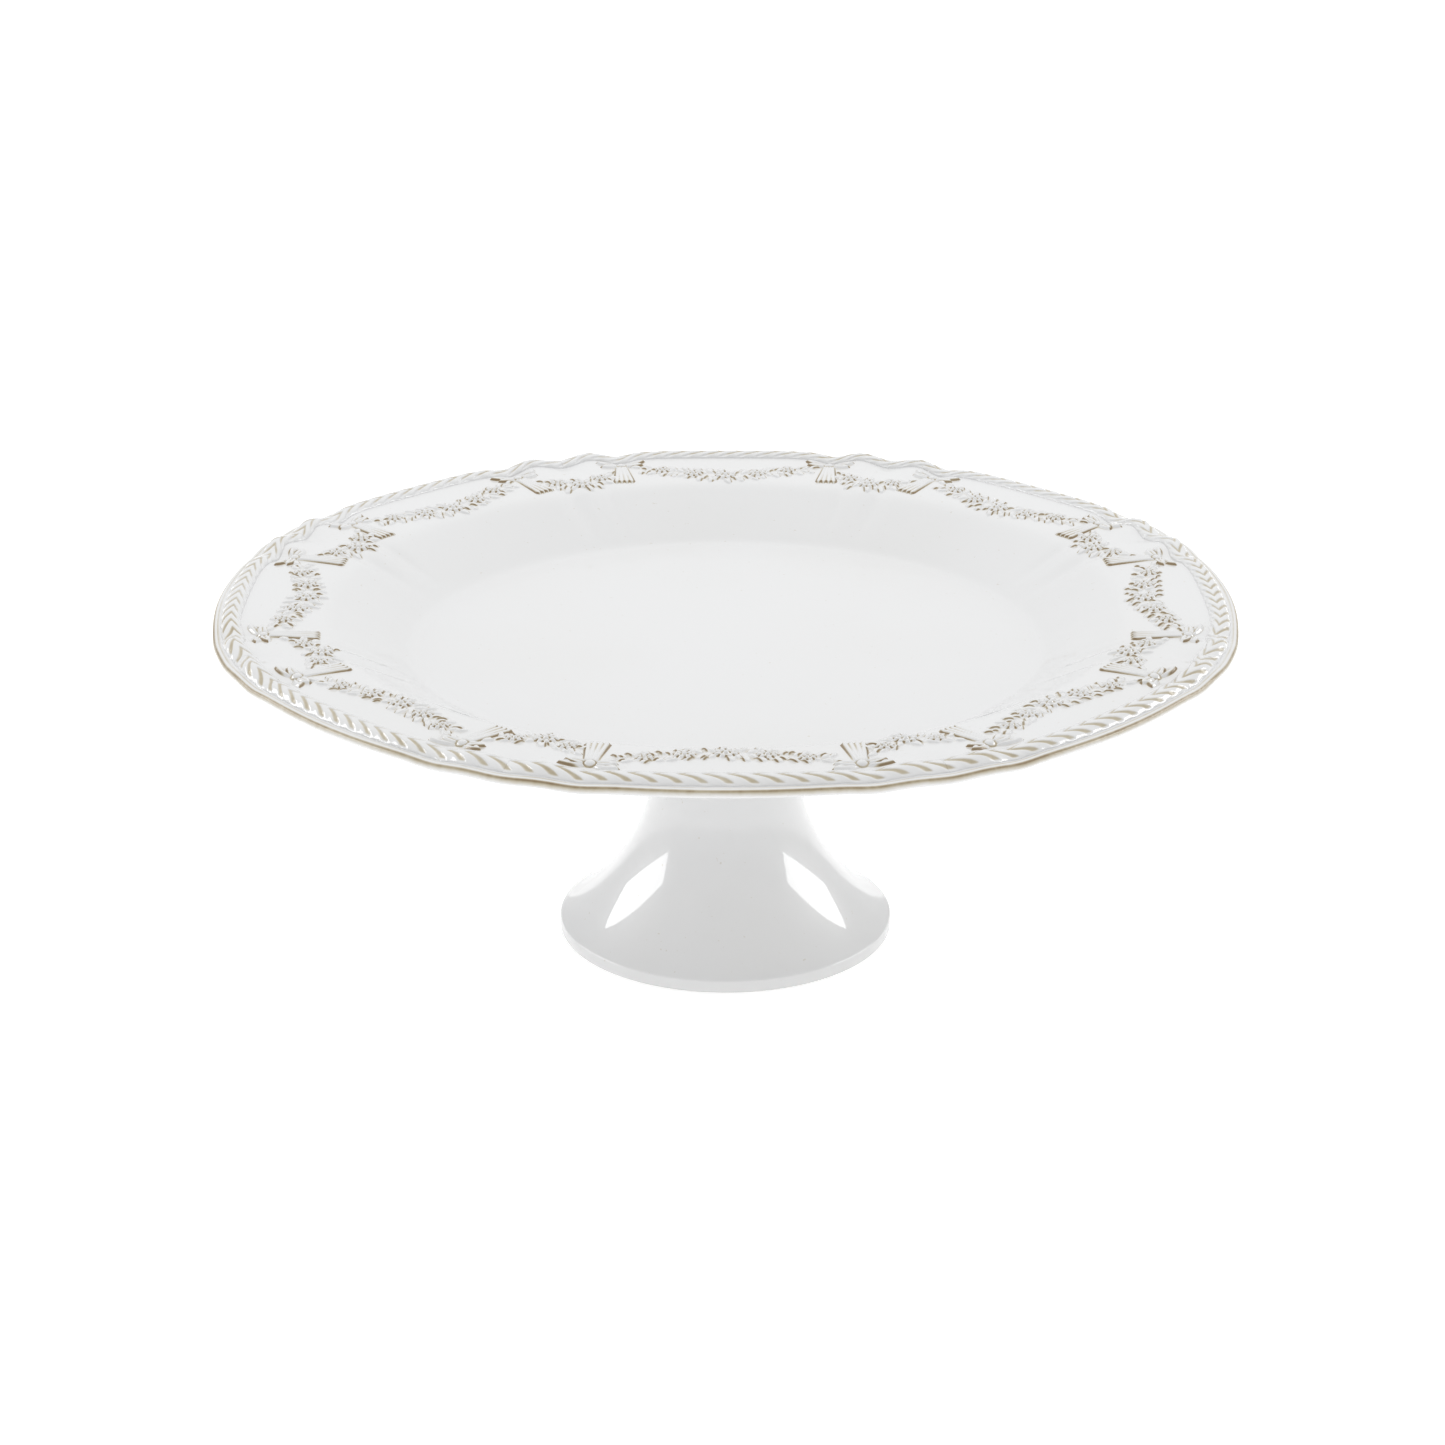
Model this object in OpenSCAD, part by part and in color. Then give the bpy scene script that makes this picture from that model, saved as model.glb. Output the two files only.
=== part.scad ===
// Footed ceramic cake stand: a round plate with an eight-lobed rim, a rope border and
// applied garlands and bows, luted with slip to a hollow trumpet pedestal.
// Frame: +Z up, origin at the middle of the foot ring, on the surface that the stand rests on.

/* [Plate] */
// Width across the lip at the middle of two opposite long arcs
plate_d = 333; // [325:1:345]
// Height of the rim's flat band, under the rope
rim_h = 117.9; // [110:0.1:130]
// Width of the flat round well
well_d = 207; // [200:1:210]
// Height of the well's floor
well_h = 101.6; // [96:0.1:104]
// Thickness of the plate under the well
well_t = 6.6; // [5:0.1:8]
// Width across the crease where the cavetto meets the rim
shoulder_d = 262; // [258:1:264]
// How far the rim falls from the rope to the shoulder
rim_fall = 1.4; // [0.8:0.1:2.4]
// Thickness of the rounded lip
lip_t = 2.8; // [2.4:0.1:3.4]
// How far the lip's middle stands below the rim's flat band
lip_drop = 1.9; // [1.5:0.1:2.4]

/* [Lobes] */
// How far a lip corner stands out past the middle of a long arc
lip_lobe = 1.8; // [0:0.1:3]
// How far a rope corner stands out past the middle of a long arc
rope_lobe = 1.3; // [0:0.1:2]
// Depth of each soft flute that runs from a corner to the well
flute_depth = 0.7; // [0.3:0.1:1]

/* [Pedestal] */
// Width of the foot ring
foot_d = 112.4; // [100:0.2:130]
// Height of the foot ring's upright band
foot_band = 4.4; // [3:0.1:6]
// Width of the narrowest part of the neck
neck_d = 52.6; // [44:0.2:60]
// Height of the narrowest part of the neck
neck_h = 52; // [46:1:58]
// Width of the pedestal where it meets the plate
seat_d = 74; // [66:1:84]
// Thickness of the pedestal's wall
stem_wall = 5.6; // [4:0.1:7]
// Thickness of the slip layer between pedestal and plate
slip_t = 0.8; // [0.4:0.1:1.2]

/* [Rope border] */
// Width of the rope
rope_w = 6.6; // [5:0.1:7]
// Height of the rope over the flat band
rope_t = 1.9; // [1.2:0.1:2.4]
// Rope strands between two corners
strands = 18; // [15:1:21]
// How far a strand runs along the rope between its crest and its foot
strand_lay = 5.6; // [4:0.1:6]

/* [Garlands and bows] */
// Height of the garlands and bows over the rim
relief_t = 1.2; // [0.6:0.1:1.6]
// Width of the largest flower
flower_d = 11; // [8:0.5:12]
// Length of a leaf
leaf_l = 8; // [6:0.5:10]
// Angle from the middle of a corner to each of its bows
bow_turn = 7.7; // [7:0.1:8.4]
// Length of a bow's longer loops
loop_l = 10; // [7:0.5:11]
// Length of a bow's pleated tail
tail_l = 18; // [12:0.5:20]
// Width of a bow's tail at its end
tail_w = 7.6; // [5:0.2:9]

/* [Hidden] */
sides = 8;
sector = 360 / sides;
plate_r = plate_d / 2;
rope_r = plate_r - 7.4;
flat_in_r = rope_r - rope_w / 2 - 0.6;
shoulder_r = shoulder_d / 2;
shoulder_h = rim_h - rim_fall;
well_r = well_d / 2;
under_h = well_h - well_t;
lip_r = lip_t / 2;
lip_h = rim_h - lip_drop;
rim_wall = 4.6;
stem_top = under_h - slip_t;
foot_r = foot_d / 2;
neck_r = neck_d / 2;
seat_r = seat_d / 2;
bow_r = rope_r - 7.4;
longs = [for (i = [1:sides]) str("long_garland_", i)];
shorts = [for (i = [1:sides]) str("short_garland_", i)];
lefts = [for (i = [1:sides]) str("left_bow_", i)];
rights = [for (i = [1:sides]) str("right_bow_", i)];
ropes = [for (i = [1:sides]) str("rope_", i)];
$fn = 96;

// A bell of height 1 that fades either side of x = 0 over about w
function bell(x, w) = exp(-pow(x / w, 2));
// Angle from the nearest corner's middle, 0 to half a sector, where t is measured from a long arc's middle
function corner_angle(t) = sector / 2 - abs(t - sector * round(t / sector));
// How far the lip stands out past its mid-arc radius
function lip_bulge(a) = lip_lobe * (0.55 * bell(a, 9) + 0.45 * bell(max(a - 4, 0), 7));
// How far the rope stands out: a full shoulder by each corner, a bump each side of it, and cusps between
function rope_bulge(a) = rope_lobe * (bell(max(a - 12, 0), 5.5) + 0.9 * bell(a - 4, 1.9)
    - 0.4 * bell(a - 8, 1.6) - 0.4 * bell(a, 1.6));
// Plan point at radius r and angle t
function polar(r, t) = [r * cos(t), r * sin(t)];
// Height of the rim's upper face inside the flat band
function rim_z(r) = rim_h - rim_fall * (flat_in_r - r) / (flat_in_r - shoulder_r);
// Height of the cavetto's upper face
function cavetto_z(r) = well_h + (shoulder_h - well_h) * (r - well_r) / (shoulder_r - well_r);

// Closed solid through rings of points, each ring running the same way round a shared axis
module ring_stack(rings) {
    n = len(rings[0]);
    m = len(rings);
    points = [for (ring = rings, p = ring) p];
    faces = [for (j = [0:m - 1], i = [0:n - 1])
        let (a = j * n, b = ((j + 1) % m) * n, k = (i + 1) % n)
        each [[a + i, b + k, b + i], [a + i, a + k, b + k]]];
    polyhedron(points, faces);
}

// ---------------------------------------------------------------- plate

lobe_steps = 24 * sides;
// The lobed border's cross-section runs from a buried root over the top, round the lip and back underneath.
// Its points are [share of the way from root to lip, height], or on the lip [1, angle round the lip].
lip_turns = [60, 20, -20, -60];
root_r = rope_r - 5;
root_in = 1.2;
border = concat(
    [[0, rim_h - root_in], [0.42, rim_h - 0.05]],
    [for (a = lip_turns) [1, a]],
    [[0.42, rim_h - rim_wall + 0.15], [0, rim_h - rim_wall + root_in]]);

// One ring of the border, round the whole plate, from point k of the cross-section
function border_ring(k) = [for (s = [0:lobe_steps - 1])
    let (t = s * 360 / lobe_steps, a = corner_angle(t), turn = k >= 2 && k < 2 + len(lip_turns),
        edge = plate_r + lip_bulge(a) - lip_r,
        r = turn ? edge + lip_r * cos(border[k][1]) : root_r + border[k][0] * (edge - root_r),
        z = turn ? lip_h + lip_r * sin(border[k][1]) : border[k][1])
    concat(polar(r, t), z)];

// The round part of the plate, revolved: well, cavetto, rim and underside
module plate_core() {
    rotate_extrude() polygon([
        [0, under_h], [well_r - 5, under_h], [shoulder_r - 1, shoulder_h - rim_wall - 1.2],
        [rope_r, rim_h - rim_wall], [rope_r, rim_h], [flat_in_r, rim_h],
        [shoulder_r, shoulder_h], [well_r, well_h], [0, well_h]]);
}

// Cutters for a pair of shallow scoops either side of each corner, deeper towards the shoulder
module flutes() {
    slope = atan((shoulder_h - well_h) / (shoulder_r - well_r));
    run = (shoulder_r - well_r) / cos(slope);
    scoop_r = 12;
    start = 2.4;
    spread = 3.2;
    tilt = slope - asin(flute_depth / (run - start));
    for (i = [0:sides - 1], side = [-1, 1])
        rotate([0, 0, sector * (i + 0.5) + side * spread])
            translate([well_r + start * cos(slope), 0, well_h + start * sin(slope)])
                rotate([0, -tilt, 0])
                    translate([-1, 0, scoop_r]) rotate([0, 90, 0]) cylinder(h = run + 8, r = scoop_r);
}

// The plate: the revolved part, with its flutes cut and the lobed border round it
module plate() {
    color([0.93, 0.93, 0.92]) {
        difference() {
            plate_core();
            flutes();
        }
        ring_stack([for (k = [0:len(border) - 1]) border_ring(k)]);
    }
}

// ---------------------------------------------------------------- pedestal

flare_steps = 14;
flare_power = 1.85;
flare_out = 31.7;
toe_out = 2.6;
toe_h = 4.3;
// Outside radius of the stem at height z: a power curve either side of the neck, and a toe by the foot band
function stem_r(z) = z < neck_h
    ? neck_r + flare_out * pow((neck_h - z) / neck_h, flare_power) + toe_out * exp((foot_band - z) / toe_h)
    : neck_r + (seat_r - neck_r) * pow((z - neck_h) / (stem_top - neck_h), 2);

// The pedestal: one even wall revolved, from the foot ring up to the seat
module pedestal() {
    arris = 0.5;
    low = [for (i = [0:flare_steps]) foot_band + (neck_h - foot_band) * pow(i / flare_steps, 1.6)];
    high = [for (i = [1:flare_steps / 2]) neck_h + (stem_top - neck_h) * i / (flare_steps / 2)];
    wall = [for (z = concat(low, high)) [min(stem_r(z), foot_r - arris / 2), z]];
    n = len(wall);
    color([0.90, 0.90, 0.89])
        rotate_extrude() polygon(concat(
            [[foot_r - stem_wall, 0], [foot_r - arris, 0], [foot_r, arris], [foot_r, foot_band - arris]],
            wall,
            [for (i = [n - 1:-1:0]) wall[i] - [stem_wall, 0]]));
}

// Slip layer between the pedestal's top and the plate, with a small bead all round outside
module luting_slip() {
    bead = 1.6;
    color([0.88, 0.87, 0.84])
        rotate_extrude() polygon([
            [seat_r - stem_wall, stem_top], [seat_r, stem_top], [seat_r + bead, under_h],
            [seat_r - stem_wall, under_h]]);
}

// ---------------------------------------------------------------- rope border

// Edge of the rope's bed along one sector, from the middle of one corner to the next
function rope_edge(out, gap) = [for (s = [0:24])
    let (t = (sector - gap) * (s / 24 - 0.5))
    polar(rope_r + rope_bulge(corner_angle(t)) + out, t)];

// Pointed outline of one leaf or strand, l long and w wide, along +Y, with its middle at the origin
module lens(l, w) {
    big = (l * l + w * w) / (4 * w);
    intersection() {
        translate([big - w / 2, 0]) circle(r = big, $fn = 60);
        translate([w / 2 - big, 0]) circle(r = big, $fn = 60);
    }
}

// One length of rope, centred on a long arc: a flat bed, and over it strands in chevrons whose points lead
// clockwise along the crest
module rope(turn) {
    bed_t = 0.9;
    gap = 0.05;
    half_w = rope_w / 2 * 0.96;
    lay = atan(half_w / strand_lay);
    strand_w = 2 * PI * rope_r / sides / strands * sin(lay) * 0.92;
    outer = rope_edge(rope_w / 2, gap);
    color([0.92, 0.91, 0.89]) translate([0, 0, rim_h]) rotate([0, 0, turn]) {
        linear_extrude(bed_t) polygon(concat(rope_edge(-rope_w / 2, gap),
            [for (i = [len(outer) - 1:-1:0]) outer[i]]));
        linear_extrude(rope_t) for (i = [0:strands - 1], half = [-1, 1]) {
            t = sector * ((i + 0.5) / strands - 0.5);
            translate(polar(rope_r + rope_bulge(corner_angle(t)) + half * half_w / 2, t))
                rotate(t - half * lay) lens(norm([half_w, strand_lay]) * 1.04, strand_w);
        }
    }
}

// ---------------------------------------------------------------- garlands and bows

// Flower outline with a ring of round petals
module flower(d) {
    petals = 7;
    circle(d = d * 0.6);
    for (i = [0:petals - 1]) rotate(i * 360 / petals) translate([d * 0.34, 0]) circle(d = d * 0.32);
}

// Keeps the part of its children that lies between the plate's upper face and t over it
module on_rim(t = relief_t) {
    in_r = well_r + 8;
    intersection() {
        union() children();
        rotate_extrude() polygon([
            [in_r, cavetto_z(in_r)], [shoulder_r, shoulder_h], [flat_in_r, rim_h], [flat_in_r, rim_h + t],
            [shoulder_r, shoulder_h + t], [in_r, cavetto_z(in_r) + t]]);
    }
}

// Upright prism of a flat outline, tall enough to pass through everything that on_rim() keeps
module prism() {
    depth = 8;
    translate([0, 0, shoulder_h - depth]) linear_extrude(rim_fall + 2 * depth) children();
}

// Swag line: radius at angle d from the garland's middle, where half is the angle of its ends
function swag_r(d, half, low, rise) = low + rise * pow(abs(d) / half, 1.35);

// Outline of one garland: a thin swag with flowers along it and leaves that sprout from it.
// A flower is [angle from the middle, offset outwards, size], and a leaf [angle, turn from the swag, size].
module garland_outline(half, low, rise, flowers, leaves) {
    steps = 10;
    band = 3.2;
    function swag(out) = [for (s = [-steps:steps])
        let (d = half * s / steps) polar(swag_r(d, half, low, rise) + out, d)];
    upper = swag(band / 2);
    prism() polygon(concat(swag(-band / 2), [for (i = [2 * steps:-1:0]) upper[i]]));
    for (f = flowers, side = f[0] == 0 ? [1] : [-1, 1])
        translate(polar(swag_r(f[0], half, low, rise) + f[1], side * f[0]))
            rotate(side * f[0] + 11) prism() flower(flower_d * f[2]);
    leaf_w = leaf_l * 0.36;
    for (l = leaves, side = [-1, 1])
        translate(polar(swag_r(l[0], half, low, rise), side * l[0]))
            rotate(side * l[0] + (side < 0 ? 180 - l[1] : l[1]))
                translate([0, leaf_l * l[2] / 2]) prism() lens(leaf_l * l[2], leaf_w);
}

// Round hearts that stand up out of the flowers
module hearts(half, low, rise, flowers) {
    for (f = flowers, side = f[0] == 0 ? [1] : [-1, 1]) {
        r = swag_r(f[0], half, low, rise) + f[1];
        translate(concat(polar(r, side * f[0]), rim_z(r) + relief_t / 2))
            cylinder(h = relief_t / 2 + 0.6, d = flower_d * f[2] * 0.26);
    }
}

// A garland that hangs across one long arc
module long_garland(turn) {
    half = 12.6;
    low = 137.2;
    rise = 9.6;
    flowers = [[0, -0.5, 1], [3.9, 0.3, 0.8], [7.4, 0.1, 0.64]];
    leaves = [[1.8, -55, 1], [1.8, 60, 1.05], [5.4, -45, 0.95], [5.4, 60, 1], [8.8, -35, 0.8], [8.8, 48, 0.85]];
    color([0.92, 0.91, 0.88]) rotate([0, 0, turn]) {
        on_rim() garland_outline(half, low, rise, flowers, leaves);
        hearts(half, low, rise, flowers);
    }
}

// A garland that hangs across one corner, between its two bows
module short_garland(turn) {
    half = 5.6;
    low = 136.8;
    rise = 6.4;
    flowers = [[0, 0, 0.92], [3.1, 0.3, 0.6]];
    leaves = [[1.4, -60, 0.9], [1.5, 62, 0.9], [4.3, 40, 0.6]];
    color([0.92, 0.91, 0.88]) rotate([0, 0, turn]) {
        on_rim() garland_outline(half, low, rise, flowers, leaves);
        hearts(half, low, rise, flowers);
    }
}

// Bow: a knot, two loops to each side and a pleated tail that fans in towards the well and leans to the corner.
// side is 1 for the bow after a corner and -1 for the one before it.
module bow(turn, side) {
    pleats = 4;
    notch = 1.1;
    knot_r = 2;
    tail_in = 3.6;
    lean = 9;
    color([0.93, 0.92, 0.89]) rotate([0, 0, turn + side * bow_turn]) on_rim(relief_t + 0.3)
        translate([bow_r, 0, 0]) {
            prism() circle(r = knot_r);
            for (s = [-1, 1], l = [[70, 1], [94, 0.82]])
                rotate(s * l[0]) translate([loop_l * l[1] / 2 + 0.4, 0]) rotate(90)
                    prism() lens(loop_l * l[1], 3.4);
            rotate(180 + side * lean) prism() polygon(concat(
                [[0, -tail_in / 2]],
                [for (i = [0:2 * pleats])
                    [tail_l - (i % 2 == 0 ? notch : 0), tail_w * (i / (2 * pleats) - 0.5)]],
                [[0, tail_in / 2]]));
        }
}

plate();
pedestal();
luting_slip();
for (i = [0:sides - 1]) {
    arc = sector * i;
    corner = sector * (i + 0.5);
    rope(arc);
    long_garland(arc);
    short_garland(corner);
    bow(corner, -1);
    bow(corner, 1);
}
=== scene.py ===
# Looks of a footed ceramic cake stand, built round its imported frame: a plate with an eight-lobed rim, a
# rope border, and garlands and bows in relief, on a hollow trumpet pedestal. Shapes are worked out in
# millimetres and written in metres, +Z up, with the origin at the middle of the foot ring.
import math

import bpy
import numpy as np
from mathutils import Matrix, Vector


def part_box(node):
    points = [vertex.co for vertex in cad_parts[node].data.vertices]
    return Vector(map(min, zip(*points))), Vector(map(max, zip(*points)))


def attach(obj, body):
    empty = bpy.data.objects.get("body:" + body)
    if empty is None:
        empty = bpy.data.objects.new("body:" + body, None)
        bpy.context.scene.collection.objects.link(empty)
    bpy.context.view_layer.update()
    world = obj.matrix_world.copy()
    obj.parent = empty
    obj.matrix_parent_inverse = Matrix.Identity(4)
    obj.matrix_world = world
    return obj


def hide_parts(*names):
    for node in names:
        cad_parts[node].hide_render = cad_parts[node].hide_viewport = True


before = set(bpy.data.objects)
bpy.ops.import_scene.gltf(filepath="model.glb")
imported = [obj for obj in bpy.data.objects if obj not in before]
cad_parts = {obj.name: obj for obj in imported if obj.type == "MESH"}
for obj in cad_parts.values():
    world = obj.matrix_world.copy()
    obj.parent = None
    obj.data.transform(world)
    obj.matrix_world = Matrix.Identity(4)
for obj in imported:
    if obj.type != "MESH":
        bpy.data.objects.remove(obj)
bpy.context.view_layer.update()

MM = 0.001
SIDES = 8
SECTOR = 360 / SIDES


# ---------------------------------------------------------- sizes, from the frame where it has them


def box_mm(node):
    """Lowest and highest corners of a CAD node in millimetres."""
    low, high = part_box(node)
    return np.array(low) / MM, np.array(high) / MM


plate_low, plate_high = box_mm("plate")
foot_high = box_mm("pedestal")[1]
slip_high = box_mm("luting_slip")[1]
rope_high = box_mm("rope_1")[1]

PLATE_R = plate_high[0]
RIM_H = plate_high[2]
UNDER_H = plate_low[2]
FOOT_R = foot_high[0]
STEM_TOP = foot_high[2]
SLIP_R = slip_high[0]
ROPE_H = rope_high[2] - RIM_H
ROPE_HALF = 3.3
ROPE_R = rope_high[0] - ROPE_HALF

WELL_R, WELL_H = 103.5, 101.6
SHOULDER_R, RIM_FALL = 131.0, 1.4
SHOULDER_H = RIM_H - RIM_FALL
BAND_MARGIN = 0.6
BAND_R = ROPE_R - ROPE_HALF - BAND_MARGIN
LIP_R, LIP_DROP = 1.4, 1.9
LIP_H = RIM_H - LIP_DROP
TOP_END = 164.7
COVE_FALL = 0.34
FLUTE_AT, FLUTE_DEPTH = 3.2, 0.8

NECK_R, NECK_H = 26.3, 52.0
FLARE_OUT, FLARE_POWER = 31.7, 1.85
TOE_OUT, TOE_H = 2.6, 4.3
STEM_WALL = 5.6
FOOT_BAND, FOOT_EDGE = 4.3, 0.7
SLIP_BEAD = 1.6
SEAT_R = SLIP_R - SLIP_BEAD

# Relief: the grid it is drawn on, how far it is let into the rim, and how deep its hidden floor lies.
CELL, SINK, BURY = 0.24, 0.1, 0.7


# ---------------------------------------------------------- formulas shared by several pieces


def bell(x, width):
    """A bell of height 1 at x = 0: exp(-(x / width)^2)."""
    return np.exp(-((x / width) ** 2))


def ease(x):
    """0 below x = 0 and 1 above x = 1, with a smooth S between."""
    x = np.clip(x, 0, 1)
    return x * x * (3 - 2 * x)


def soft_ramp(x, width):
    """0 for x well below 0 and x well above it, rounded over about width: width * ln(1 + e^(x / width))."""
    return width * np.logaddexp(0, x / width)


def corner_angle(turn):
    """Degrees from the nearest corner of the rim, where turn is measured from the middle of a long arc."""
    return SECTOR / 2 - np.abs(turn - SECTOR * np.round(turn / SECTOR))


def rope_wave(a):
    """How far the rope stands out at a degrees from a corner: a full shoulder, a bump each side and cusps
    between."""
    shoulder = 1.3 * bell(np.maximum(a - 12, 0), 5.5)
    return shoulder + 1.2 * bell(a - 4, 1.9) - 0.5 * bell(a - 8, 1.6) - 0.5 * bell(a, 1.6)


def rope_lift(a):
    """How far the rope rises at a degrees from a corner: up on each bump and down in the cusps."""
    return 0.8 * bell(a - 4, 1.9) - 1.1 * bell(a - 8, 1.9) - 0.6 * bell(a, 1.7)


def lip_wave(a):
    """How far the lip stands out at a degrees from a corner, a soft bracket."""
    return 1.8 * (0.55 * bell(a, 9) + 0.45 * bell(np.maximum(a - 4, 0), 7))


def lip_lift(a):
    """How far the lip rises at a degrees from a corner, less than the rope does."""
    return 0.2 * bell(a - 4, 2.2) - 0.5 * bell(a - 8, 2.4) - 0.2 * bell(a, 2)


def wave_share(rho):
    """Share of the rope's wave felt at nominal radius rho: none inside the garlands, all under the rope."""
    return ease((rho - BAND_R + 8) / 9)


def lip_share(rho):
    """Share of the lip's own wave against the rope's at nominal radius rho."""
    return ease((rho - ROPE_R - 1) / 5)


def wave(rho, a):
    """How far a point of nominal radius rho moves out at a degrees from a corner."""
    k = lip_share(rho)
    return wave_share(rho) * ((1 - k) * rope_wave(a) + k * lip_wave(a))


def lift(rho, a):
    """How far a point of nominal radius rho rises at a degrees from a corner."""
    k = lip_share(rho)
    return wave_share(rho) * ((1 - k) * rope_lift(a) + k * lip_lift(a))


def flute(rho, a):
    """Depth of the pair of soft grooves that run from each corner down the cavetto, deepest towards the
    shoulder."""
    inner = ease((rho - WELL_R - 1) / (SHOULDER_R - WELL_R - 3))
    outer = 1 - ease((rho - SHOULDER_R) / 9)
    return FLUTE_DEPTH * inner * outer * (bell(a - FLUTE_AT, 1.5) - 0.35 * bell(a, 1.3))


def top_height(rho):
    """Height of the upper face at nominal radius rho: flat well, cavetto, sloped rim, flat band, a fall into
    the cove outside the rope and a rise to the lip. Each is a straight slope, and soft ramps join them."""
    cavetto = (SHOULDER_H - WELL_H) / (SHOULDER_R - WELL_R)
    rim = RIM_FALL / (BAND_R - SHOULDER_R)
    return (WELL_H + cavetto * soft_ramp(rho - WELL_R, 0.9)
            - (cavetto - rim) * soft_ramp(rho - SHOULDER_R, 1.6)
            - rim * soft_ramp(rho - BAND_R, 0.5)
            - COVE_FALL * soft_ramp(rho - ROPE_R - 2.4, 0.3)
            + (COVE_FALL + 0.12) * soft_ramp(rho - PLATE_R + 2.9, 0.25))


def rim_height(u, v):
    """Height of the plate's upper face over plan point u, v, where +u runs through the middle of a long arc.
    The nominal radius is found by taking the wave off the true one a few times over."""
    r = np.hypot(u, v)
    a = corner_angle(np.degrees(np.arctan2(v, u)))
    rho = r
    for _ in range(4):
        rho = r - wave(rho, a)
    return top_height(rho) + lift(rho, a) - flute(rho, a)


# ---------------------------------------------------------- meshes


def grid_faces(rows, cols, wrap_rows=False, wrap_cols=True):
    """Quads of a rows x cols grid of points, facing out where a row step crossed with a column step does."""
    i = np.arange(rows if wrap_rows else rows - 1)
    j = np.arange(cols if wrap_cols else cols - 1)
    i, j = (g.ravel() for g in np.meshgrid(i, j, indexing="ij"))
    k, m = (i + 1) % rows, (j + 1) % cols
    return np.stack([i * cols + j, k * cols + j, k * cols + m, i * cols + m], axis=1)


def fan(centre, ring):
    """Triangles from a centre to a ring of vertices, facing the side from which the ring runs
    anticlockwise."""
    return np.stack([np.full(len(ring), centre), ring, np.roll(ring, -1)], axis=1)


def write_piece(name, points, face_sets, slot, finish, node, **fields):
    """Makes a smooth-shaded piece from N x 3 points in mm and arrays of faces. Each of fields is one number
    a point, kept as an attribute. The piece stands for CAD node node."""
    mesh = bpy.data.meshes.new(name)
    corners = np.concatenate([faces.ravel() for faces in face_sets])
    sizes = np.concatenate([np.full(len(faces), faces.shape[1]) for faces in face_sets])
    mesh.vertices.add(len(points))
    mesh.vertices.foreach_set("co", (points * MM).astype(np.float32).ravel())
    mesh.loops.add(len(corners))
    mesh.loops.foreach_set("vertex_index", corners.astype(np.int32))
    mesh.polygons.add(len(sizes))
    mesh.polygons.foreach_set("loop_start", (np.cumsum(sizes) - sizes).astype(np.int32))
    mesh.update(calc_edges=True)
    mesh.shade_smooth()
    for field, values in fields.items():
        attribute = mesh.attributes.new(field, "FLOAT", "POINT")
        attribute.data.foreach_set("value", values.astype(np.float32).ravel())
    mesh.materials.append(finish)
    piece = bpy.data.objects.new(name, mesh)
    bpy.context.scene.collection.objects.link(piece)
    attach(piece, "root")
    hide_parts(node)
    return piece


def turned(points, degrees):
    """Points turned about the upright axis."""
    c, s = math.cos(math.radians(degrees)), math.sin(math.radians(degrees))
    return points @ np.array([[c, s, 0], [-s, c, 0], [0, 0, 1]])


# ---------------------------------------------------------- plate, pedestal and slip


def plate_piece(finish):
    """The plate: a grid of turn by profile. The profile runs from the middle of the well out over the rim,
    round the lip and back under to the middle. Points of the upper face move by wave(), lift() and flute(),
    and those of the lip and the outer underside by the lip's own wave and lift. Round the lip lies a stain
    line near its top, with a broad band over its outer and lower side that is painted shade, partly stain,
    and a darker band on the top face just inside the lip."""
    cols = 768
    turn = np.arange(cols) * 360 / cols
    a = corner_angle(turn)[None, :]
    rho = np.concatenate([
        [12.0, 40.0, 70.0, 92.0, 98.0], np.linspace(100, 108, 10), np.linspace(109.5, 127, 9),
        np.linspace(128, 134, 9), np.linspace(135.5, 153, 11), np.linspace(154, TOP_END, 20)])
    top_r = rho[:, None] + wave(rho[:, None], a)
    top_z = top_height(rho[:, None]) + lift(rho[:, None], a) - flute(rho[:, None], a)
    edge_r = PLATE_R - LIP_R + lip_wave(a)
    edge_z = LIP_H + lip_lift(a)
    bend = np.radians(np.linspace(84, -90, 17))[:, None]
    lip_r = edge_r + LIP_R * np.cos(bend)
    lip_z = edge_z + LIP_R * np.sin(bend)
    under = np.array([
        [163.0, 114.5], [161.0, 114.2], [158.0, 113.5], [152.0, 112.8], [142.0, 112.0], [135.0, 111.4],
        [131.0, 110.7], [127.0, 109.1], [119.0, 105.2], [110.0, 100.7], [103.5, 97.5], [100.0, 95.8],
        [97.5, UNDER_H], [80.0, UNDER_H], [45.0, UNDER_H], [15.0, UNDER_H]])
    fade = ease((under[:, :1] - 140) / 20)
    under_r = under[:, :1] + fade * lip_wave(a)
    under_z = under[:, 1:] + fade * lip_lift(a)
    r = np.concatenate([top_r, lip_r, under_r])
    z = np.concatenate([top_z, lip_z, under_z])
    t = np.radians(turn)[None, :]
    points = np.stack([r * np.cos(t), r * np.sin(t), z], axis=-1).reshape(-1, 3)
    points = np.concatenate([points, [[0, 0, WELL_H], [0, 0, UNDER_H]]])
    rows = len(r)
    last = (rows - 1) * cols + np.arange(cols)
    faces = grid_faces(rows, cols)
    caps = np.concatenate([fan(len(points) - 2, np.arange(cols)), fan(len(points) - 1, last[::-1])])
    stain = np.zeros((rows, cols))
    n = len(rho)
    # Round the lip: a stain line near its top, and a broad band over its outer and lower side that is
    # painted shade, partly stain.
    stain[n:n + len(bend)] = 0.7 * bell(np.degrees(bend) - 46, 20) + 0.4 * bell(np.degrees(bend) - 10, 46)
    # A darker band on the top face just inside the lip.
    stain[:n] += 0.45 * bell(rho[:, None] - TOP_END, 0.8)
    stain = np.append(stain.ravel(), [0, 0])
    return write_piece("plate_shell", points, [faces, caps], "plate_glaze", finish, "plate", stain=stain)


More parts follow.
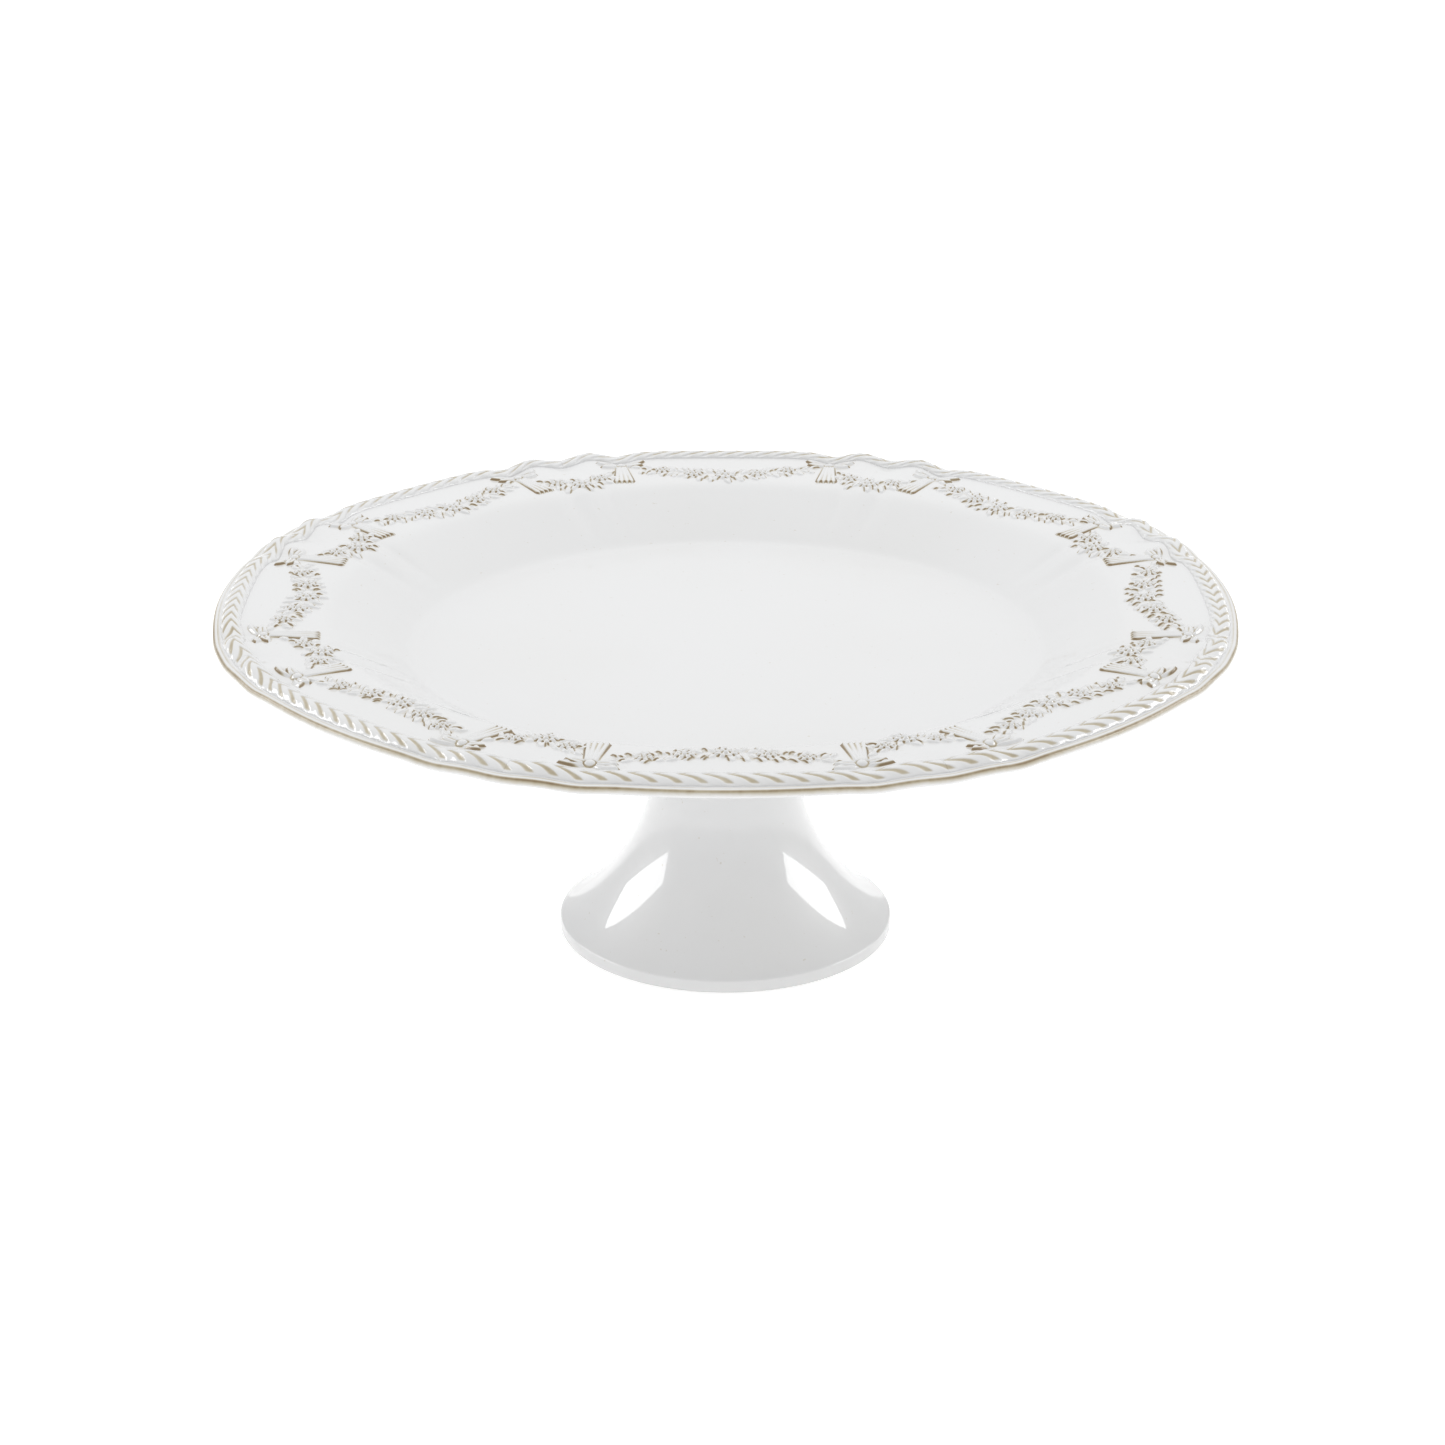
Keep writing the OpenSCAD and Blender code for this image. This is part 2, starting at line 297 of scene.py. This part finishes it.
def revolved_loop(profile, cols):
    """Points and faces of a closed profile of radius and height carried round the axis."""
    turn = np.arange(cols) * 2 * math.pi / cols
    r, z = profile[:, :1], profile[:, 1:]
    points = np.stack([r * np.cos(turn), r * np.sin(turn), z + 0 * turn], axis=-1).reshape(-1, 3)
    return points, grid_faces(len(profile), cols, wrap_rows=True)


def stem_radius(z):
    """Outside radius of the stem: the neck's, plus a power of the distance below it or above it, plus a toe
    that fades upwards from the foot band."""
    flare = FLARE_OUT * (np.maximum(NECK_H - z, 0) / NECK_H) ** FLARE_POWER
    below = flare + TOE_OUT * np.exp((FOOT_BAND - z) / TOE_H)
    above = (SEAT_R - NECK_R) * (np.maximum(z - NECK_H, 0) / (STEM_TOP - NECK_H)) ** 2
    return NECK_R + below + above


def pedestal_piece(finish):
    """The pedestal: outside down the stem, round the edge of the foot band, across the standing ring, then
    up inside at an even wall. The standing ring is bare clay."""
    down = np.concatenate([np.linspace(STEM_TOP, 12, 50), np.linspace(11, FOOT_BAND + 0.35, 16)])
    outside = np.stack([stem_radius(down), down], axis=1)
    bend = np.radians(np.linspace(48, 0, 7))
    shoulder_r = FOOT_R - FOOT_EDGE + FOOT_EDGE * np.cos(bend)
    shoulder_z = FOOT_BAND - 0.5 + FOOT_EDGE * np.sin(bend)
    shoulder = np.stack([shoulder_r, shoulder_z], axis=1)
    ring = np.array([
        [FOOT_R, 2.2], [FOOT_R, 1.0], [FOOT_R - 0.05, 0.45], [FOOT_R - 0.25, 0.12], [FOOT_R - 0.6, 0.0],
        [FOOT_R - 2.6, 0.0], [FOOT_R - STEM_WALL + 0.9, 0.0], [FOOT_R - STEM_WALL + 0.3, 0.25],
        [FOOT_R - STEM_WALL, 0.8], [FOOT_R - STEM_WALL, 2.2]])
    up = np.linspace(FOOT_BAND, STEM_TOP, 46)
    inside = np.stack([np.minimum(stem_radius(up), FOOT_R) - STEM_WALL, up], axis=1)
    profile = np.concatenate([outside, shoulder, ring, inside])
    cols = 320
    points, faces = revolved_loop(profile, cols)
    standing = profile[:, 1] < 0.01
    bare = np.repeat(standing.astype(float), cols)
    return write_piece("pedestal_shell", points, [faces], "pedestal_glaze", finish, "pedestal",
                       bare=bare, stain=np.zeros(len(points)))


def slip_piece(finish):
    """The slip ring: a flat ring with a hollow-fronted bead that fills the corner under the plate."""
    bend = np.radians(np.linspace(0, 90, 9))
    high = UNDER_H - STEM_TOP
    cove = np.stack([SLIP_R - SLIP_BEAD * np.sin(bend), UNDER_H - high * (1 - np.cos(bend))], axis=1)
    inner = SEAT_R - STEM_WALL
    profile = np.concatenate([cove, [[inner, STEM_TOP], [inner, UNDER_H]]])
    points, faces = revolved_loop(profile, 256)
    return write_piece("slip_ring", points, [faces], "fired_slip", finish, "luting_slip")


# ---------------------------------------------------------- rope border

STRANDS = 18
LAY = 8.6
STRAND_DEPTH = 0.26
CHANNEL_FLAT, CHANNEL_SIDE = 0.08, 0.2
ROPE_IN, ROPE_OUT = 3.1, 4.1


def rope_piece(index, finish):
    """One sector of the rope: section angle by turn. The section is half an ellipse, wider outside its crest
    than inside, that rises from the plate's face over a buried foot. Strands lie in chevrons whose points
    lead along the crest: the phase is turn in strands, less lay times a power of the share of the way from
    crest to foot. Between two strands runs a flat-bottomed channel that holds stain. Outside the crest a
    broad band of painted shade, partly stain, also darkens each strand's sides."""
    cols = 480
    turn = np.linspace(-SECTOR / 2, SECTOR / 2, cols)[None, :]
    bend = np.linspace(0, 180, 31)[:, None]
    q = -np.cos(np.radians(bend))
    pitch = 2 * math.pi * ROPE_R / SIDES / STRANDS
    across = (q * q + 0.004) ** 0.36
    phase = turn / SECTOR * STRANDS - LAY / pitch * across
    gap = np.abs(phase - np.round(phase))
    foot = ease((1 - np.abs(q)) * 7)
    channel = (1 - ease((gap - CHANNEL_FLAT) / CHANNEL_SIDE)) * foot
    swell = 1 - STRAND_DEPTH * channel + 0.05 * np.cos(2 * math.pi * phase)
    a = corner_angle(turn)
    offset = np.where(q < 0, ROPE_IN, ROPE_OUT) * q * (0.5 + 0.5 * swell)
    rho = ROPE_R + offset
    r = rho + wave(rho, a)
    z = top_height(rho) + lift(rho, a) - SINK + (ROPE_H + SINK) * np.sin(np.radians(bend)) * swell
    foot_r, foot_z = r[[-1, 0]], z[[-1, 0]] - BURY
    r, z = np.concatenate([r, foot_r]), np.concatenate([z, foot_z])
    t = np.radians(turn)
    points = np.stack([r * np.cos(t), r * np.sin(t), z], axis=-1)
    rows = len(r)
    ends = points[:, [0, -1]].mean(axis=0)
    points = np.concatenate([points.reshape(-1, 3), ends])
    first = np.arange(rows) * cols
    faces = grid_faces(rows, cols, wrap_rows=True, wrap_cols=False)
    caps = np.concatenate([fan(len(points) - 2, first[::-1]), fan(len(points) - 1, first + cols - 1)])
    # A broad band over each strand's sides outside the crest: painted shade of the strands, partly stain.
    wide = (0.5 + 0.5 * np.cos(2 * math.pi * phase)) * foot
    within = channel * (1 - 0.7 * ease((-0.45 - q) / 0.4))
    stain = np.where(q < 0, within, 0.6 * channel + 0.55 * wide)
    stain = np.append(np.concatenate([stain, np.zeros((2, cols))]).ravel(), [0, 0])
    return write_piece(f"rope_length_{index + 1}", turned(points, SECTOR * index), [faces, caps],
                       "rope_glaze", finish, f"rope_{index + 1}", stain=stain)


# ---------------------------------------------------------- relief: elements laid on a height field


def rounded(depth, edge):
    """A quarter-round shoulder: 0 outside, rising to 1 at edge mm inside the outline."""
    inside = np.clip(depth / edge, 0, 1)
    return np.sqrt(1 - (1 - inside) ** 2)


def polar(r, degrees):
    """Plan point at radius r and angle degrees."""
    return r * math.cos(math.radians(degrees)), r * math.sin(math.radians(degrees))


def lens_depth(along, across, length, width):
    """Depth inside a pointed leaf outline centred on the origin, where two arcs of one radius cross."""
    big = (length ** 2 + width ** 2) / (4 * width)
    return big - np.hypot(np.abs(across) + big - width / 2, along)


def blurred(field, width):
    """A field smoothed over width mm by repeated 1-2-1 averages along both axes."""
    for _ in range(max(1, round(2 * (width / CELL) ** 2))):
        field = (np.roll(field, 1, 0) + 2 * field + np.roll(field, -1, 0)) / 4
        field = (np.roll(field, 1, 1) + 2 * field + np.roll(field, -1, 1)) / 4
    return field


class Sprig:
    """A sprig drawn over plan points u, v: relief is its height over the rim in mm, and stain the share of
    stain rubbed into it."""

    def __init__(self, u, v):
        self.u, self.v = u, v
        self.relief, self.stain = np.zeros_like(u), np.zeros_like(u)

    def local(self, at, degrees):
        """Coordinates from point at, along and across a direction that is degrees from +u towards +v."""
        c, s = math.cos(math.radians(degrees)), math.sin(math.radians(degrees))
        du, dv = self.u - at[0], self.v - at[1]
        return c * du + s * dv, c * dv - s * du

    def lay(self, depth, height, stroke, gap=0.5):
        """Lays an element down. depth is mm inside its outline, less than 0 outside. What lies under it and
        within gap round it is cut away first, so that a crevice is left round the element. stroke is its own
        stain."""
        self.relief = np.maximum(self.relief * ease(-depth / gap), height)
        self.stain = np.maximum(self.stain * ease(0.5 - depth / 0.6), stroke)

    def leaf(self, at, degrees, length, width, height, side):
        """A pointed leaf that starts at a point, with rounded edges, a sunk midrib and a dark stroke along
        the flank on one side."""
        along, across = self.local(at, degrees)
        depth = lens_depth(along - length / 2, across, length, width)
        rib = 0.3 * bell(across, 0.25) * ease(along / length * 3)
        arch = 0.75 + 0.25 * np.sin(math.pi * np.clip(along / length, 0, 1))
        stroke = bell(across - side * 0.38 * width, 0.22)
        stroke = stroke * ease(1.9 - np.abs(along / length - 0.56) / 0.2)
        self.lay(depth, height * arch * (rounded(depth, 0.5) - rib * (depth > 0)), stroke)

    def flower(self, at, degrees, radius, petals, height):
        """A daisy: a ring of oval petals, cupped towards the middle, round a domed heart, with dark dots
        between the petals and a fainter ring round the heart."""
        along, across = self.local(at, degrees)
        out, angle = np.hypot(along, across), np.arctan2(across, along)
        step = 2 * math.pi / petals
        angle = angle - step * np.round(angle / step)
        petal_l, petal_w = 0.68 * radius, 2 * math.pi * 0.66 * radius / petals * 0.9
        lengthways = (out * np.cos(angle) - 0.66 * radius) / (petal_l / 2)
        oval = np.hypot(lengthways, out * np.sin(angle) / (petal_w / 2))
        cup = 0.7 + 0.3 * np.clip(out / radius, 0, 1)
        petal = height * rounded((1 - oval) * petal_w / 2, 0.45) * cup
        heart = (height + 0.25) * np.sqrt(np.clip(1 - (out / (0.27 * radius)) ** 2, 0, 1))
        between = bell((step / 2 - np.abs(angle)) * out, 0.34) * ease(2 - np.abs(out - 0.84 * radius) / 0.5)
        round_heart = 0.4 * bell(out - 0.36 * radius, 0.25)
        self.lay(radius - out, np.maximum(petal, heart), between + round_heart, 0.3)

    def tail(self, at, degrees, length, start, end, pleats, height):
        """A bow's tail: a fan of pleats that widens from start to end, with a dark hem along each side and a
        dark notch between the tips of its pleats."""
        along, across = self.local(at, degrees)
        half = (start + (end - start) * np.clip(along / length, 0, 1)) / 2
        share = np.clip(across / half, -1, 1)
        valley = (1 + np.cos(math.pi * pleats * (share + 1))) / 2
        tip = length - 1.1 * valley ** 2 - along
        side = half - np.abs(across)
        depth = np.minimum(np.minimum(side, tip), along + 0.5)
        hem = bell(side + 0.05, 0.24) * ease(along / length * 2.5) * np.where(across > 0, 0.8, 0.55)
        blob = bell(tip - 0.2, 0.5) * (0.25 + 0.75 * valley)
        crease = 0.3 * valley * ease(along / length * 2 - 0.6)
        on = depth > -0.6
        self.lay(depth, height * rounded(depth, 0.4) * (1 - 0.4 * valley), on * (hem + blob + crease))

    def loop(self, at, degrees, length, width, height):
        """A bow's loop: a full leaf of ribbon with a crease down its middle, dark along its outer edge."""
        along, across = self.local(at, degrees)
        depth = lens_depth(along - length / 2, across, length, width)
        crease = bell(across, 0.35) * ease(along / length * 4) * ease((0.8 - along / length) * 6)
        edge = bell(depth - 0.1, 0.32) * ease(along / length * 3 - 0.9) * (across > -0.2)
        self.lay(depth, height * rounded(depth, 0.9) * (1 - 0.45 * crease), 0.3 * crease + edge)

    def knot(self, at, radius, height):
        """A bow's knot, a low dome."""
        out = np.hypot(self.u - at[0], self.v - at[1])
        dome = height * np.sqrt(np.clip(1 - (out / radius) ** 2, 0, 1))
        self.lay(radius - out, dome, 0.4 * bell(out - radius, 0.3), 0.4)

    def garland(self, half, low, rise, flowers, step, seed):
        """Leaves in two layers that lean away from the middle, then flowers over them. The line they grow
        from is at radius low in the middle and further out by rise at half degrees. A flower is its angle
        from the middle, its offset outwards, its radius and its petals."""
        rng = np.random.default_rng(seed)
        count = int(round(half / step))

        def radius(d):
            return low + rise * (abs(d) / half) ** 1.35

        for layer, (length, width, reach) in enumerate([(6.2, 2.7, 1.2), (4.9, 2.3, 0.3)]):
            for k in range(-count, count + 1):
                d = step * (k + 0.5 * layer)
                if abs(d) > half:
                    continue
                fade = 1 - 0.25 * (abs(d) / half) ** 2
                for side in (-1, 1):
                    away = d if k or layer else side
                    lean = math.copysign(28 + 22 * abs(d) / half, away) + rng.uniform(-9, 9)
                    direction = d + lean if side > 0 else d + 180 - lean
                    size = fade * rng.uniform(0.88, 1.1)
                    start = polar(radius(d) + side * reach, d + rng.uniform(-0.25, 0.25))
                    dark = rng.choice((-1, 1))
                    self.leaf(start, direction, length * size, width * size, 0.85, dark)
        for d, out, size, petals in flowers:
            for side in ((-1, 1) if d else (1,)):
                at = polar(radius(d) + out, side * d)
                self.flower(at, side * d + rng.uniform(0, 40), size, petals, 1.1)


def long_garland(sprig):
    """A long garland, centred on +u."""
    flowers = [(9.3, 0.2, 2.6, 6), (4.9, -0.3, 3.2, 7), (0, 0.3, 3.8, 8)]
    sprig.garland(half=12.4, low=137.2, rise=9.6, flowers=flowers, step=1.7, seed=11)


def short_garland(sprig):
    """A short garland, centred on +u."""
    flowers = [(3.4, 0.1, 2.7, 6), (0, 0.0, 3.7, 8)]
    sprig.garland(half=5.4, low=136.8, rise=6.4, flowers=flowers, step=1.6, seed=23)


BOW_TURN, BOW_R, TAIL_SWING = 7.7, 151.7, 189


def bow(sprig):
    """The bow after a corner, with the corner on +u: a pleated tail inwards, two loops aside and a knot."""
    at = polar(BOW_R, BOW_TURN)
    sprig.tail(at, BOW_TURN + TAIL_SWING, length=18.0, start=3.6, end=7.6, pleats=4, height=0.95)
    for swing, length in ((72, 10.4), (-68, 9.6), (96, 8.4), (-94, 8.0)):
        sprig.loop(at, BOW_TURN + swing, length, width=3.4, height=1.1)
    sprig.knot(at, radius=1.8, height=1.45)


def patch_faces(kept):
    """Faces of a closed slab over the kept cells of a grid: lid, floor and a wall along each open side."""
    rows, cols = kept.shape
    index = np.arange((rows + 1) * (cols + 1)).reshape(rows + 1, cols + 1)
    corner = [index[:-1, :-1], index[1:, :-1], index[1:, 1:], index[:-1, 1:]]
    ring = np.pad(kept, 1)
    beside = [ring[1:-1, :-2], ring[2:, 1:-1], ring[1:-1, 2:], ring[:-2, 1:-1]]
    lid = np.stack([c[kept] for c in corner], axis=1)
    faces = [lid, lid[:, ::-1] + index.size]
    for side in range(4):
        open_side = kept & ~beside[side]
        a, b = corner[side][open_side], corner[(side + 1) % 4][open_side]
        faces.append(np.stack([b, a, a + index.size, b + index.size], axis=1))
    return np.concatenate(faces)


def kept_cells(relief):
    """Cells where the relief shows, and those beside them, with cells that would touch at one corner
    joined."""
    shows = relief > SINK * 0.5
    cells = shows[:-1, :-1] | shows[1:, :-1] | shows[:-1, 1:] | shows[1:, 1:]
    wide = np.pad(cells, 1)
    cells = cells | wide[2:, 1:-1] | wide[:-2, 1:-1] | wide[1:-1, 2:] | wide[1:-1, :-2]
    for _ in range(3):
        a, b, c, d = cells[:-1, :-1], cells[1:, 1:], cells[1:, :-1], cells[:-1, 1:]
        c |= a & b & ~d
        a |= c & d & ~b
    return cells


def sprig_pieces(kind, nodes, draw, u_range, v_half, start, finish, side=1):
    """Writes a sprig's copies, one for each of nodes, a sector apart. draw draws it about +u, which is start
    degrees from the middle of a long arc; side is -1 for a mirrored sprig. It lies on rim_height() with a
    low skirt round each element, and takes a little more stain where it is lower than its surroundings."""
    u, v = np.meshgrid(np.arange(*u_range, CELL), np.arange(-v_half, v_half, CELL), indexing="ij")
    sprig = Sprig(u, side * v)
    draw(sprig)
    relief = blurred(sprig.relief, 0.2)
    stain = sprig.stain + 0.3 * np.clip((blurred(relief, 0.85) - relief) / 0.25, 0, 1)
    relief = np.maximum(relief, 0.36 * blurred((sprig.relief > 0.05).astype(float), 0.8))
    plan = turned(np.stack([u, v, 0 * u], axis=-1).reshape(-1, 3), start)
    ground = rim_height(plan[:, 0], plan[:, 1])
    top, floor = plan.copy(), plan.copy()
    top[:, 2] = ground + relief.ravel() - SINK
    floor[:, 2] = ground - BURY
    faces = patch_faces(kept_cells(relief))
    used, faces = np.unique(faces, return_inverse=True)
    points = np.concatenate([top, floor])[used]
    stain = np.concatenate([stain.ravel(), 0 * stain.ravel()])[used]
    faces = faces.reshape(-1, 4)
    for index, node in enumerate(nodes):
        write_piece(f"{kind}_{index + 1}", turned(points, SECTOR * index), [faces], "relief_glaze",
                    finish, node, stain=stain)


# ---------------------------------------------------------- materials


class Value:
    """An output of a node. Arithmetic on it adds Math nodes."""

    def __init__(self, finish, socket):
        self.finish, self.socket = finish, socket

    def _math(self, operation, a, b):
        return self.finish.node("ShaderNodeMath", {"operation": operation}, {0: a, 1: b})

    def __add__(self, other):
        return self._math("ADD", self, other)

    def __mul__(self, other):
        return self._math("MULTIPLY", self, other)

    def __rsub__(self, other):
        return self._math("SUBTRACT", other, self)

    __radd__ = __add__
    __rmul__ = __mul__


class Finish:
    """A material whose nodes are added by node()."""

    def __init__(self, name):
        self.material = bpy.data.materials.new(name)
        self.material.use_nodes = True
        self.tree = self.material.node_tree
        self.shader = self.tree.nodes["Principled BSDF"]

    def node(self, kind, settings=None, inputs=None, output=0):
        """Adds a node, sets its settings, sets or links its inputs and gives an output as a Value."""
        node = self.tree.nodes.new(kind)
        for key, value in (settings or {}).items():
            setattr(node, key, value)
        self.fill(node, inputs or {})
        return Value(self, node.outputs[output])

    def fill(self, node, inputs):
        """Sets a node's inputs, and links those given as a Value."""
        for key, value in inputs.items():
            if isinstance(value, Value):
                self.tree.links.new(value.socket, node.inputs[key])
            else:
                node.inputs[key].default_value = value

    def noise(self, place, scale, detail=2.0):
        """Soft noise from 0 to 1 over place, with scale bumps to the metre."""
        return self.node("ShaderNodeTexNoise", None, {"Vector": place, "Scale": scale, "Detail": detail})

    def step(self, value, low, high):
        """0 where value is below low and 1 above high, with a smooth S between."""
        return self.node("ShaderNodeMapRange", {"interpolation_type": "SMOOTHSTEP"},
                         {"Value": value, "From Min": low, "From Max": high})

    def mix(self, share, a, b):
        """Colour a where share is 0 and b where it is 1."""
        return self.node("ShaderNodeMix", {"data_type": "RGBA"}, {0: share, 6: a, 7: b}, 2)


WHITE = (0.74, 0.74, 0.74, 1)
CREAM = (0.71, 0.705, 0.69, 1)
TAN = (0.45, 0.38, 0.24, 1)
BROWN = (0.2, 0.125, 0.045, 1)
BISQUE = (0.72, 0.66, 0.56, 1)


def glaze(name, strength):
    """Glossy white glaze over stoneware. Where the attribute of stain and painted shade is high it shows
    tan,
    then brown, unevenly: strength scales it, fine noise breaks it up and broad noise lets it come and go
    along the rim. The attribute holds stain, and painted shade as well on the rope's strands and round the
    lip. Where the bare attribute is 1 it is unglazed clay. The surface has a faint orange peel and a few
    specks."""
    finish = Finish(name)
    place = finish.node("ShaderNodeTexCoord", None, None, "Object")
    stain = finish.node("ShaderNodeAttribute", {"attribute_name": "stain"}, None, "Fac")
    bare = finish.node("ShaderNodeAttribute", {"attribute_name": "bare"}, None, "Fac")
    broad = finish.noise(place, 28.0)
    fine = finish.noise(place, 420.0, 3.0)
    # Share of tan and brown, from stain and, on the rope's strands and round the lip, painted shade.
    stain_and_shade_share = stain * (0.35 + 0.9 * broad + 0.5 * fine) * strength
    tan = finish.step(stain_and_shade_share, 0.16, 0.62)
    brown = finish.step(stain_and_shade_share, 0.5, 1.05)
    speck = finish.step(finish.noise(place, 650.0, 1.0), 0.74, 0.8)
    cloud = finish.step(finish.noise(place, 14.0), 0.3, 0.75)
    colour = finish.mix(cloud * 0.35, WHITE, CREAM)
    colour = finish.mix(speck * 0.3, colour, TAN)
    colour = finish.mix(tan * 0.85, colour, TAN)
    colour = finish.mix(brown * 0.9, colour, BROWN)
    colour = finish.mix(bare, colour, BISQUE)
    peel = finish.noise(place, 130.0, 2.0) + 0.25 * fine
    bump = finish.node("ShaderNodeBump", None, {"Strength": 0.05, "Distance": 0.001, "Height": peel})
    finish.fill(finish.shader, {
        "Base Color": colour,
        "Roughness": 0.34 + 0.2 * tan + 0.4 * bare,
        "Coat Weight": (1.0 - bare) * (1.0 - 0.5 * tan),
        "Coat Roughness": 0.035,
        "Coat IOR": 1.6,
        "IOR": 1.5,
        "Normal": bump,
    })
    return finish.material


def slip_finish():
    """Fired slip under a thin satin glaze, a little creamier than the rest."""
    finish = Finish("satin_slip")
    place = finish.node("ShaderNodeTexCoord", None, None, "Object")
    grain = finish.noise(place, 300.0, 3.0)
    colour = finish.mix(grain * 0.5, WHITE, CREAM)
    bump = finish.node("ShaderNodeBump", None, {"Strength": 0.15, "Distance": 0.001, "Height": grain})
    finish.fill(finish.shader, {"Base Color": colour, "Roughness": 0.3 + 0.15 * grain, "Normal": bump})
    return finish.material


def floor_finish():
    """A plain pale floor."""
    finish = Finish("pale_floor")
    finish.fill(finish.shader, {"Base Color": (0.97, 0.97, 0.97, 1), "Roughness": 0.7,
                                "Emission Color": (1, 1, 1, 1), "Emission Strength": 0.3})
    return finish.material


# ---------------------------------------------------------- studio


def softbox(name, at, towards, size, power):
    """A rectangular area light at a point, aimed at another."""
    light = bpy.data.lights.new(name, "AREA")
    light.shape = "RECTANGLE"
    light.size, light.size_y = size
    light.energy = power
    lamp = bpy.data.objects.new(name, light)
    bpy.context.scene.collection.objects.link(lamp)
    lamp.location = at
    aim = np.array(towards) - np.array(at)
    tilt = math.acos(-aim[2] / np.linalg.norm(aim))
    lamp.rotation_euler = (tilt, 0, math.atan2(aim[1], aim[0]) - math.pi / 2)
    return lamp


def studio():
    """A pale floor, a soft dome, a window-like softbox each side that shows in the gloss alone, and a broad
    one overhead that lights the stand without showing in the gloss."""
    scene = bpy.context.scene
    scene.view_settings.view_transform = "Standard"
    bpy.ops.mesh.primitive_plane_add(size=14)
    floor = bpy.context.object
    floor.name = "floor"
    floor.data.materials.append(floor_finish())
    world = bpy.data.worlds.new("dome")
    world.use_nodes = True
    world.node_tree.nodes["Background"].inputs["Color"].default_value = (0.99, 0.995, 1.0, 1)
    world.node_tree.nodes["Background"].inputs["Strength"].default_value = 0.85
    scene.world = world
    for side in (-1, 1):
        at, towards = (side * 1.2, 0.1, 0.53), (side * -0.02, -0.25, 0.3)
        window = softbox(f"window_{side + 2}", at, towards, size=(0.95, 0.38), power=5)
        window.visible_diffuse = False
    overhead = softbox("overhead", (0, 0.9, 1.6), (0, 0, 0.1), size=(1.8, 1.4), power=14)
    overhead.visible_glossy = False


def camera():
    """The camera stands before the stand, a little over its rim, and looks along +Y and down."""
    data = bpy.data.cameras.new("camera")
    data.lens, data.sensor_width = 77.7, 36
    eye = bpy.data.objects.new("camera", data)
    bpy.context.scene.collection.objects.link(eye)
    eye.location = (-0.001, -0.9692, 0.4522)
    eye.rotation_euler = (math.radians(68.614), 0, 0)
    bpy.context.scene.camera = eye


# ---------------------------------------------------------- the stand


def build():
    """Makes every piece of the stand."""
    plain = glaze("plate_glaze", 0.9)
    shaped = glaze("relief_glaze", 1.1)
    corded = glaze("rope_glaze", 0.5)
    plate_piece(plain)
    pedestal_piece(glaze("pedestal_glaze", 0.0))
    slip_piece(slip_finish())
    for index in range(SIDES):
        rope_piece(index, corded)

    def nodes(kind):
        return [f"{kind}_{index + 1}" for index in range(SIDES)]

    corner = SECTOR / 2
    sprig_pieces("long_sprig", nodes("long_garland"), long_garland,
                 u_range=(126, 156), v_half=38, start=0, finish=shaped)
    sprig_pieces("short_sprig", nodes("short_garland"), short_garland,
                 u_range=(126, 152), v_half=20, start=corner, finish=shaped)
    sprig_pieces("left_ribbon", nodes("left_bow"), bow,
                 u_range=(130, 160), v_half=36, start=corner, finish=shaped, side=-1)
    sprig_pieces("right_ribbon", nodes("right_bow"), bow,
                 u_range=(130, 160), v_half=36, start=corner, finish=shaped)


camera()
studio()
build()
